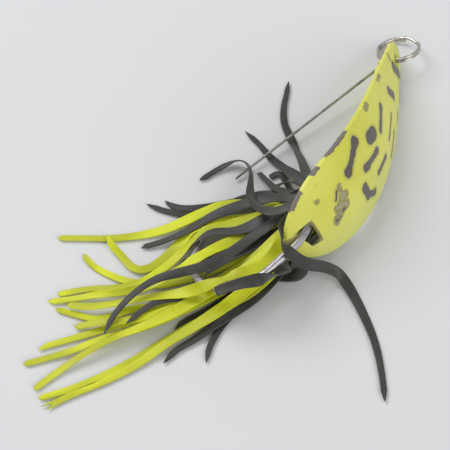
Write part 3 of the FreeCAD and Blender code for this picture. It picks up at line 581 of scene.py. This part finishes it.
def rubber(name, dark, plain, light, roughness, sheen):
    """Rubber sheet: bloom in patches, fine lines along the strip, grime in specks, and slow darker stretches
    of painted shade.
    """
    shader = Shader(name, roughness)
    sheet_place = shader.add("ShaderNodeTexCoord").outputs["UV"]
    lines = shader.noise(9.0, 2.0, 0.6, shader.scaled((2.2, 0.22, 1), sheet_place))
    patches = shader.noise(260.0, 3.0, 0.55)
    grain = shader.noise(3600.0, 2.0, 0.6)
    bloom = shader.step(shader.math("ADD", shader.math("MULTIPLY", lines, 0.55),
                                    shader.math("MULTIPLY", patches, 0.45)), 0.38, 0.62)
    tone = shader.mix(bloom, plain, light)
    specks = shader.step(grain, 0.66, 0.76)
    tone = shader.mix(shader.math("MULTIPLY", specks, 0.55), tone, dark)
    # painted shade: slow darker stretches, different on each strip, standing for strips turned away from the
    # light
    shade_drift = shader.noise(5.0, 1.0, 0.5, shader.scaled((0.05, 0.11, 1), sheet_place))
    shader.colour(shader.mix(shader.step(shade_drift, 0.62, 0.36, (0.0, 0.5)), tone, dark))
    shader.roughness(shader.step(patches, 0.3, 0.7, (roughness - 0.08, roughness + 0.1)))
    shader.bump(shader.math("ADD", lines, shader.math("MULTIPLY", grain, 0.5)), 0.00005, 0.5)
    shader.surface.inputs["Sheen Weight"].default_value = sheen
    shader.surface.inputs["Sheen Roughness"].default_value = 0.5
    return shader


def metal(name, dark, plain, light, roughness, stretch):
    """Worn metal: drawn lines, dull patches and small pits."""
    shader = Shader(name, roughness, 1.0)
    drawn = shader.noise(1500.0, 3.0, 0.6, shader.scaled(stretch))
    patches = shader.noise(330.0, 4.0, 0.6)
    pits = shader.noise(2600.0, 2.0, 0.5)
    tone = shader.mix(shader.step(drawn, 0.35, 0.65), plain, light)
    dull = shader.step(patches, 0.52, 0.68)
    shader.colour(shader.mix(shader.math("MULTIPLY", dull, 0.75), tone, dark))
    shader.roughness(shader.math("ADD", shader.math("MULTIPLY", dull, 0.18),
                                 shader.step(drawn, 0.3, 0.7, (roughness - 0.06, roughness + 0.08))))
    shader.bump(shader.math("ADD", drawn, shader.math("MULTIPLY", pits, 0.8)), 0.00003, 0.5)
    return shader.material


def spot_group():
    """A node group: distance in mm from a rounded bar that narrows to its waist, below 0 inside it."""
    group = bpy.data.node_groups.new("bar_distance", "ShaderNodeTree")
    for name, kind in (("Place", "Vector"), ("Start", "Vector"), ("End", "Vector"), ("Half", "Float"),
                       ("Waist", "Float")):
        group.interface.new_socket(name, in_out="INPUT", socket_type="NodeSocket" + kind)
    group.interface.new_socket("Distance", in_out="OUTPUT", socket_type="NodeSocketFloat")
    nodes, links = group.nodes, group.links
    given = nodes.new("NodeGroupInput").outputs
    result = nodes.new("NodeGroupOutput")

    def vector(operation, first, second=None, scale=None):
        node = nodes.new("ShaderNodeVectorMath")
        node.operation = operation
        links.new(first, node.inputs[0])
        if second is not None:
            links.new(second, node.inputs[1])
        if scale is not None:
            links.new(scale, node.inputs["Scale"])
        return node.outputs["Value" if operation in ("DOT_PRODUCT", "LENGTH") else "Vector"]

    def number(operation, first, second, third=0.0, clamp=False):
        node = nodes.new("ShaderNodeMath")
        node.operation = operation
        node.use_clamp = clamp
        for socket, value in zip(node.inputs, (first, second, third)):
            if isinstance(value, bpy.types.NodeSocket):
                links.new(value, socket)
            else:
                socket.default_value = value
        return node.outputs[0]

    offset = vector("SUBTRACT", given["Place"], given["Start"])
    bar = vector("SUBTRACT", given["End"], given["Start"])
    share = number("DIVIDE", vector("DOT_PRODUCT", offset, bar), vector("DOT_PRODUCT", bar, bar), clamp=True)
    gap = vector("LENGTH", vector("SUBTRACT", offset, vector("SCALE", bar, scale=share)))
    from_middle = number("ABSOLUTE", number("MULTIPLY_ADD", share, 2.0, -1.0), 0.0)
    ends = number("POWER", from_middle, 3.0)
    wide = number("MULTIPLY", number("SUBTRACT", 1.0, given["Waist"]), ends)
    half = number("MULTIPLY", given["Half"], number("ADD", given["Waist"], wide))
    links.new(number("SUBTRACT", gap, half), result.inputs[0])
    return group


PAINT = (0.76, 0.75, 0.09)
PAINT_LIGHT = (0.82, 0.82, 0.12)
PAINTED_SHEEN = (0.72, 0.76, 0.24)      # painted sheen: paler and greener towards the right edge
PAINT_SHADE = (0.36, 0.34, 0.08)     # the thin spray round a dark spot
SPOT = (0.115, 0.095, 0.08)
VARNISH = (0.42, 0.38, 0.20)
UNDERCOAT = (0.20, 0.175, 0.14)
MOUTH_SHADE_AND_WEAR = (0.30, 0.26, 0.14)      # painted shade round the window and along the trough, with worn paint on the window's lip
SHAKE, TEAR = 0.9, 2.6       # how far noise moves every outline, and how far it tears a chip's, mm
SPRAY_REACH, SPRAY_SHARE = 1.1, 0.4      # how far past a spot its thin spray reaches, mm, and how dark
CHIP_RIM, CHIP_RIM_SHARE = 0.6, 0.7      # the same for the dark rim of a chip


def nearest_bar(shader, group, place, bars):
    """Distance in mm from the nearest of the bars."""
    distance = None
    for start, end, half, waist in bars:
        bar = shader.add("ShaderNodeGroup", {"node_tree": group}, Place=place, Half=half, Waist=waist)
        bar.inputs["Start"].default_value = (*start, 0)
        bar.inputs["End"].default_value = (*end, 0)
        found = bar.outputs[0]
        distance = found if distance is None else shader.math("MINIMUM", distance, found)
    return distance


def face_place(shader):
    """The place on the spoon in mm to the left, and as one vector, forward and to the left."""
    tail = shader.add("ShaderNodeVectorMath", {"operation": "SUBTRACT"}, _0=shader.place)
    tail.inputs[1].default_value = TAIL_AT
    along, left = (shader.dot(axis / MM, tail.outputs[0]) for axis in (FORWARD, LEFT))
    return left, shader.add("ShaderNodeCombineXYZ", X=along, Y=left).outputs[0]


def painted_spoon():
    """Chartreuse paint with sprayed dark spots, chips, worn edges, painted shade round the window and a
    painted sheen towards the right edge; the hollow side is plain paint.
    """
    shader = Shader("painted_spoon", 0.42)
    left, on_face = face_place(shader)
    ragged = shader.noise(1400.0, 3.0, 0.6)
    shake = shader.math("MULTIPLY", shader.math("SUBTRACT", ragged, 0.5), SHAKE)
    torn = shader.math("MULTIPLY", shader.math("SUBTRACT", shader.noise(420.0, 4.0, 0.65), 0.5), TEAR)
    facing = shader.step(shader.dot(OUTWARD, shader.add("ShaderNodeNewGeometry").outputs["Normal"]), 0.0, 0.3)
    group = spot_group()
    spots = shader.math("ADD", nearest_bar(shader, group, on_face, SPOTS), shake)
    chips = shader.math("ADD", nearest_bar(shader, group, on_face, BARE_PATCHES), shake)
    chips = shader.math("ADD", chips, torn)

    # paint, a little uneven, and a painted sheen that makes it paler towards the right edge
    fade = shader.noise(60.0, 2.0)
    paint = shader.mix(shader.step(fade, 0.35, 0.65), PAINT, PAINT_LIGHT)
    paint = shader.mix(shader.step(left, 1.0, -10.0, (0.0, 0.55)), paint, PAINTED_SHEEN)

    # dark spots, each in its thin spray
    spray = shader.math("MULTIPLY", shader.step(spots, SPRAY_REACH, -0.1, (0.0, SPRAY_SHARE)), facing)
    painted = shader.mix(spray, paint, PAINT_SHADE)
    ink = shader.math("MULTIPLY", shader.step(spots, 0.12, -0.12), facing)
    painted = shader.mix(ink, painted, SPOT)

    # chips in patches down to old varnish, each in its dark rim
    rim = shader.math("MULTIPLY", shader.step(chips, CHIP_RIM, 0.0, (0.0, CHIP_RIM_SHARE)), facing)
    painted = shader.mix(rim, painted, SPOT)
    bare = shader.math("MULTIPLY", shader.step(chips, 0.05, -0.3), facing)
    bare = shader.math("MULTIPLY", bare, shader.step(shader.noise(900.0, 3.0, 0.6), 0.42, 0.56))
    painted = shader.mix(bare, painted, VARNISH)

    # the edge worn through to its undercoat; round the window and along the trough to the tail, painted shade
    # in grey-brown, with worn paint on the window's lip
    edge = shader.add("ShaderNodeAttribute", {"attribute_name": "rim"}).outputs["Fac"]
    worn = shader.step(shader.math("ADD", edge, shader.math("MULTIPLY", shake, 0.8)), 0.68, 0.8)
    painted = shader.mix(worn, painted, UNDERCOAT)
    mouth = shader.add("ShaderNodeAttribute", {"attribute_name": "mouth"}).outputs["Fac"]
    shade_and_rub = shader.math("ADD", mouth, shader.math("MULTIPLY", shake, 0.5))
    shade_and_rub = shader.step(shade_and_rub, 0.62, 0.9, (0.0, 0.8))
    painted = shader.mix(shade_and_rub, painted, MOUTH_SHADE_AND_WEAR)

    # specks of dirt; whatever is worn is duller and lies lower
    dirt = shader.step(shader.noise(700.0, 4.0, 0.65), 0.62, 0.74, (0.0, 0.22))
    shader.colour(shader.mix(dirt, painted, SPOT))
    level = shader.math("MAXIMUM", worn, shader.math("MAXIMUM", bare, shade_and_rub))
    shader.roughness(shader.math("ADD", shader.math("MULTIPLY", level, 0.2),
                                 shader.step(fade, 0.3, 0.7, (0.36, 0.46))))
    peel = shader.math("ADD", shader.math("MULTIPLY", shader.noise(420.0, 2.0), 0.6),
                       shader.math("MULTIPLY", level, -1.6))
    shader.bump(peel, 0.00006, 0.7)
    shader.surface.inputs["Coat Weight"].default_value = 0.25
    shader.surface.inputs["Coat Roughness"].default_value = 0.3
    return shader.material


RUBBERS = {                  # (name, dark, plain and light colour, roughness, sheen)
    "black": ("black_rubber", (0.014, 0.014, 0.010), (0.034, 0.034, 0.028),
              (0.064, 0.064, 0.056), 0.5, 0.18),
    "chartreuse": ("chartreuse_rubber", (0.34, 0.36, 0.003), (0.72, 0.77, 0.002),
                   (0.82, 0.87, 0.03), 0.46, 0.04),
    "band": ("band_rubber", (0.01, 0.01, 0.01), (0.028, 0.028, 0.03), (0.05, 0.05, 0.052), 0.58, 0.18),
}
METALS = {                   # (name, dark, plain and light colour, roughness, stretch of the drawn lines)
    "hook": ("hook_steel", (0.28, 0.26, 0.27), (0.50, 0.47, 0.50), (0.62, 0.59, 0.61), 0.36, (0.25, 1, 1)),
    "guard": ("guard_wire", (0.20, 0.19, 0.17), (0.36, 0.35, 0.33), (0.48, 0.47, 0.45), 0.34,
              (0.4, 1, 0.7)),
    "ring": ("ring_steel", (0.30, 0.26, 0.20), (0.60, 0.56, 0.49), (0.74, 0.71, 0.65), 0.28, (1, 1, 1)),
    "lead": ("lead", (0.09, 0.09, 0.10), (0.15, 0.155, 0.165), (0.24, 0.245, 0.26), 0.6, (0.6, 0.6, 0.6)),
}


def make_materials():
    """Every material, under the name of its colour or its piece."""
    rubbers = {key: rubber(*recipe) for key, recipe in RUBBERS.items()}
    glow = rubbers["chartreuse"].surface.inputs
    glow["Subsurface Weight"].default_value = 0.15
    glow["Subsurface Scale"].default_value = 0.0006
    made = {key: shader.material for key, shader in rubbers.items()}
    made["paint"] = painted_spoon()
    for key, recipe in METALS.items():
        made[key] = metal(*recipe)
    return made


# ---- rigid pieces ----------------------------------------------------------------------------
RIM_STATIONS = (             # the spoon's outline, (distance from the tail, half width) in mm
    (0.0, 0.0), (0.9, 3.5), (3.0, 6.4), (6.2, 8.9), (11.0, 10.8), (18.0, 11.6), (26.0, 11.4),
    (35.0, 10.6), (45.0, 9.2), (54.0, 7.3), (61.0, 5.6), (65.0, 4.5), (67.5, 3.6), (69.4, 2.0), (70.0, 0.0),
)
WORN_STRETCHES = ((21.8, 4.6), (12.9, 1.3), (5.8, 2.0))   # (middle, half length) in mm from the tail
WINDOW_CORNERS = ((2.1, 1.9), (6.1, 2.3), (7.0, -4.5), (4.5, -4.1))   # (forward, left) in mm
BODY_LENGTH = RIM_STATIONS[-1][0]
RIM_BAND = 1.3               # mm from the outline that the paint's wear reaches
END_SQUEEZE = 1.6            # how many times thinner that band is at the tail and the nose
WINDOW_BAND = 0.5            # mm from the window that its painted shade and worn paint reach
TROUGH_HALF, TROUGH_END = 1.3, 2.6   # the trough of painted shade from the tail to the window, mm
TROUGH_SLOPE, TROUGH_FADE = 1.5, 1.1
SHELL_VOXEL = 0.00019        # size of the spoon's even faces, in metres
SHELL_PASSES = 4             # how many times its edges are eased


def window_gap(place):
    """How far in mm a place is outside the window's four straight sides."""
    gaps = []
    for (at, left), (next_at, next_left) in zip(WINDOW_CORNERS, WINDOW_CORNERS[1:] + WINDOW_CORNERS[:1]):
        length = math.hypot(next_at - at, next_left - left)
        gaps.append(((place.y - left) * (next_at - at) - (place.x - at) * (next_left - left)) / length)
    return max(gaps)


def half_width(forward):
    """The spoon's half width in mm at one distance from its tail."""
    for (at, half), (next_at, next_half) in zip(RIM_STATIONS, RIM_STATIONS[1:]):
        if at <= forward <= next_at:
            return half + (next_half - half) * (forward - at) / (next_at - at)
    return 0.0


def rim_wear(place):
    """How hard the rim is worn: thinly all along the right, through in three stretches on the left."""
    if place.y < 0:
        return 0.62
    worn = max(smooth(1.6 - abs(place.x - at) / half) for at, half in WORN_STRETCHES)
    return 0.35 + 0.65 * worn


def rounded_copy(name, node, voxel, passes):
    """A CAD node's shape in small even faces, its sharp edges eased as paint and wear ease them."""
    piece = add(name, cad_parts[node].data.copy())
    remesh = piece.modifiers.new("even", "REMESH")
    remesh.mode = "VOXEL"
    remesh.voxel_size = voxel
    ease = piece.modifiers.new("ease", "SMOOTH")
    ease.factor = 0.5
    ease.iterations = passes
    bpy.context.view_layer.update()
    shape = bpy.data.meshes.new_from_object(piece.evaluated_get(bpy.context.evaluated_depsgraph_get()))
    shape.name = name
    piece.modifiers.clear()
    piece.data = shape
    shape.polygons.foreach_set("use_smooth", [True] * len(shape.polygons))
    return piece


def make_spoon(material):
    """The spoon, with the paint's wear at the rim, and the painted shade and worn paint round the window, as
    two attributes.
    """
    piece = rounded_copy("spoon_shell", "spoon_body", SHELL_VOXEL, SHELL_PASSES)
    rims, mouths = [], []
    for vertex in piece.data.vertices:
        place = LURE_AXES.transposed() @ (vertex.co - TAIL_AT) / MM
        from_end = min(place.x, BODY_LENGTH - place.x)
        inset = min(half_width(place.x) - abs(place.y), from_end * END_SQUEEZE)
        rims.append((1 - held(inset / RIM_BAND)) * rim_wear(place))
        trough = max(abs(place.y) - TROUGH_HALF, (place.x - TROUGH_END) * TROUGH_SLOPE)
        mouths.append(1 - held(min(window_gap(place) / WINDOW_BAND, trough / TROUGH_FADE)))
    for name, values in (("rim", rims), ("mouth", mouths)):
        piece.data.attributes.new(name, "FLOAT", "POINT").data.foreach_set("value", values)
    finish_piece(piece, "root", "painted_spoon", material, "spoon_body")


NOSE_HOLE = (65.0, 0.0, 0.945)                        # mm, in the lure's own axes
RING_RADIUS, RING_WIRE = 5.2, 0.75                    # mm, to the middle of the wire, and its diameter
RING_TILT, RING_SAG, RING_LEAN = 12.0, -7.0, 7.0      # degrees
RING_TURNS = 1.86
RING_START = 60.0            # degrees round the ring from its far side to the first cut end
RING_STEPS = 150
STEP_OVER = 0.08             # the share of the wire's length over which it crosses to its second turn
TURN_GAP = 0.49              # half the gap between the turns' middles, as a share of the wire's diameter


def make_ring(material):
    """A coil of nearly two turns of spring wire, its ends cut square."""
    tilt = math.radians(RING_TILT)
    wire = Vector((math.sin(tilt), 0, math.cos(tilt)))
    reach = Vector((math.cos(tilt), 0, -math.sin(tilt)))
    reach = Matrix.Rotation(math.radians(RING_SAG), 3, wire) @ reach
    wire = Matrix.Rotation(math.radians(RING_LEAN), 3, reach) @ wire
    axis = reach.cross(wire)
    centre = Vector(NOSE_HOLE) + reach * RING_RADIUS
    curve = bpy.data.curves.new("ring_coil", "CURVE")
    curve.dimensions = "3D"
    curve.bevel_depth = RING_WIRE / 2 * MM
    curve.bevel_resolution = 5
    curve.use_fill_caps = True
    spline = curve.splines.new("POLY")
    spline.points.add(RING_STEPS)
    for i, point in enumerate(spline.points):
        share = i / RING_STEPS
        angle = math.radians(RING_START) + share * RING_TURNS * 2 * math.pi
        crossed = smooth((share - 0.5) / STEP_OVER + 0.5)
        side = RING_WIRE * TURN_GAP * (2 * crossed - 1)
        place = centre + (reach * math.cos(angle) + wire * math.sin(angle)) * RING_RADIUS + axis * side
        point.co = (*lure(*place), 1)
    piece = add("ring_coil", curve)
    finish_piece(piece, "ring", "ring_steel", material, "split_ring")


def paint_nodes(slots):
    """Gives CAD nodes that are shown as they are their materials."""
    for node, material in slots.items():
        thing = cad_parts[node]
        thing.data.materials.clear()
        thing.data.materials.append(material)


# ---- surroundings ----------------------------------------------------------------------------
TABLE_DARK, TABLE_LIGHT = (0.77, 0.775, 0.785), (0.79, 0.795, 0.805)
TABLE_SIZE = 2.0


def make_table():
    """A plain pale table top."""
    shader = Shader("table", 0.7)
    faint = shader.noise(14.0, 3.0)
    grain = shader.noise(900.0, 2.0)
    shader.colour(shader.mix(faint, TABLE_DARK, TABLE_LIGHT))
    shader.bump(grain, 0.00002, 0.3)
    work = bmesh.new()
    bmesh.ops.create_grid(work, x_segments=2, y_segments=2, size=TABLE_SIZE)
    mesh = bpy.data.meshes.new("table")
    work.to_mesh(mesh)
    work.free()
    table = add("table", mesh)
    mesh.materials.append(shader.material)


LIGHTS = (                   # (name, place and size in metres, watts, colour)
    ("window_light", (0.15, 0.75, 0.85), 0.7, 6.5, (1.0, 0.99, 0.97)),
    ("near_fill", (-0.35, -1.0, 0.75), 0.9, 5.4, (1.0, 0.97, 0.91)),
)
SKY = (0.80, 0.83, 0.88)
SKY_STRENGTH = 0.52


def make_light():
    """Two soft square lamps and an even pale sky."""
    for name, place, size, watts, colour in LIGHTS:
        data = bpy.data.lights.new(name, "AREA")
        data.size = size
        data.energy = watts
        data.color = colour
        lamp = add(name, data)
        lamp.location = place
        lamp.rotation_euler = Vector(place).to_track_quat("Z", "Y").to_euler()
    world = bpy.data.worlds.new("studio")
    world.use_nodes = True
    world.node_tree.nodes["Background"].inputs["Color"].default_value = (*SKY, 1)
    world.node_tree.nodes["Background"].inputs["Strength"].default_value = SKY_STRENGTH
    bpy.context.scene.world = world


bpy.context.scene.view_settings.view_transform = "Standard"
make_camera()
looks = make_materials()
make_skirt(looks)
make_spoon(looks["paint"])
make_ring(looks["ring"])
paint_nodes({"hook": looks["hook"], "weed_guard": looks["guard"], "keel_weight": looks["lead"],
             "skirt_hub": looks["band"], "skirt_collar": looks["band"]})
make_table()
make_light()
